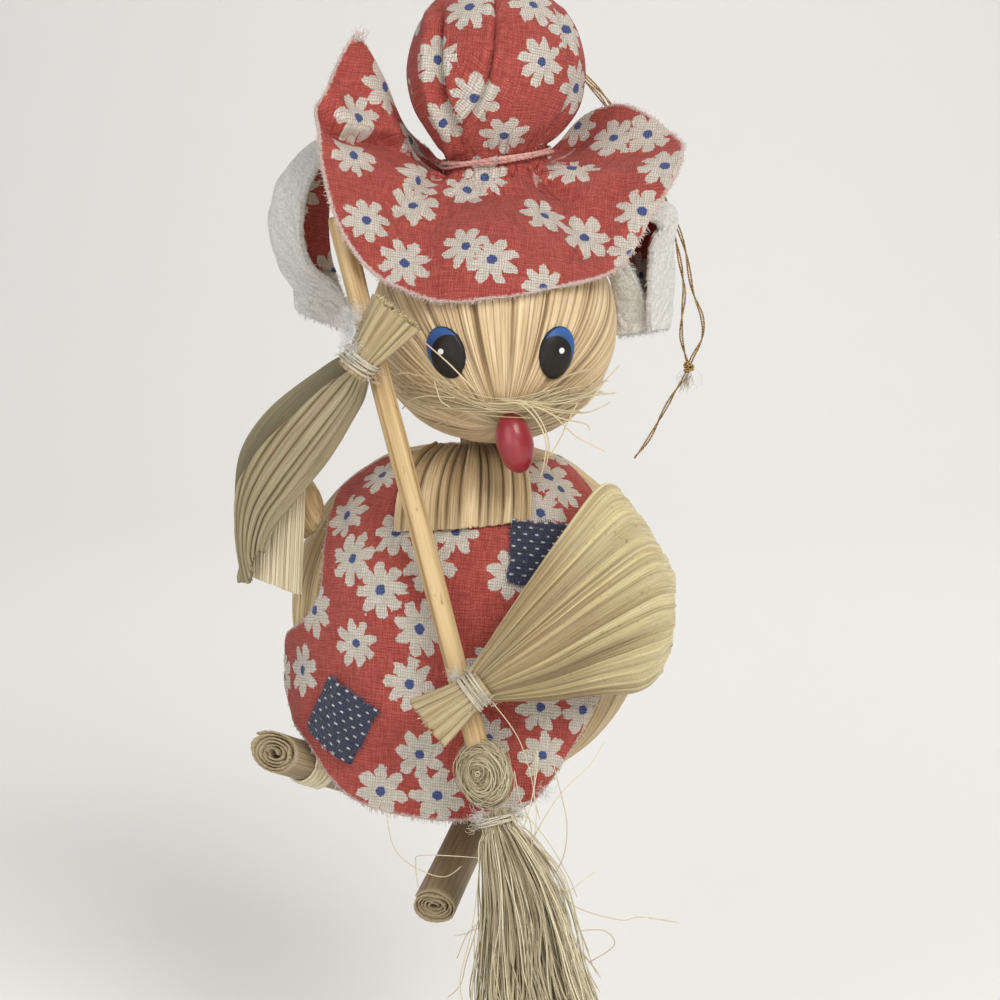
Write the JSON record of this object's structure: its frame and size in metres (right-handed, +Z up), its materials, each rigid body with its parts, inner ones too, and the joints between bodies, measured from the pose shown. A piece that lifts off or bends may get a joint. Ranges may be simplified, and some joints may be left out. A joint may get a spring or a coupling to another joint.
{
  "type": "corn husk doll",
  "caption": "Hanging ornament: a stuffed corn husk animal doll in a print cotton hat and apron, holding a twig broom with a fibre brush.",
  "frame": {"origin": "the point on the top of the hat's crown, a little to the back, where the hanging thread is sewn through", "axes": "+Z up, the doll faces -Y, +X is the viewer's right when looking at the face"},
  "size_m": [0.067, 0.0741, 0.1459],
  "materials": {
    "husk": "dried corn husk, fine ribs, slight sheen",
    "cotton_print": "plain-weave cotton, red with cream flowers",
    "denim": "coarse navy weave with pale stitches",
    "foam": "white craft foam, hidden",
    "fleece": "white brushed fleece",
    "sisal": "loose pale sisal fibre",
    "twig": "bare light wood",
    "thread": "undyed thread",
    "nylon": "clear nylon thread",
    "bead": "satin crimson paint",
    "eye_sticker": "glossy printed oval, black with a blue upper rim",
    "gold_thread": "metallic thread"
  },
  "bodies": {
    "doll": {"hat_core": "foam", "hat_cloth": "cotton_print", "hat_tie": "thread", "head_core": "foam", "head_husk": "husk", "eye_left": "eye_sticker", "eye_right": "eye_sticker", "nose_bead": "bead", "whisker_bundle": "sisal", "neck_husk": "husk", "neck_tie": "nylon", "husk_collar": "husk", "body_core": "foam", "body_husk": "husk", "apron": "cotton_print", "patch_left": "denim", "patch_right": "denim", "sleeve_left": "husk", "sleeve_left_flap": "husk", "upper_arm_left": "husk", "wrist_tie_left": "thread", "hand_left": "husk", "sleeve_right": "husk", "wrist_tie_right": "thread", "hand_right": "husk", "broom_stick": "twig", "broom_bun": "sisal", "broom_tie": "thread", "broom_bristles": "sisal", "leg_left": "husk", "leg_left_wrap": "husk", "leg_right": "husk"},
    "hanging_loop": {"cord_strand_left": "gold_thread", "cord_strand_right": "gold_thread", "cord_tail": "gold_thread", "cord_knot": "gold_thread"},
    "left_ear": {"ear_left_felt": "fleece", "ear_left_lining": "cotton_print"},
    "right_ear": {"ear_right_felt": "fleece", "ear_right_lining": "cotton_print"}
  },
  "joints": [
    {"name": "loop_swing", "type": "hinge", "parent": "doll", "child": "hanging_loop", "pos_m": [0, 0, 0], "axis": [0, -1, 0], "range_deg": [0, 150]},
    {"name": "ear_left_flop", "type": "hinge", "parent": "doll", "child": "left_ear", "pos_m": [-0.0123, -0.00813, -0.03152], "axis": [0, 1, 0], "range_deg": [0, 25]},
    {"name": "ear_right_flop", "type": "hinge", "parent": "doll", "child": "right_ear", "pos_m": [0.0125, -0.00813, -0.03152], "axis": [0, -1, 0], "range_deg": [0, 25]}
  ]
}
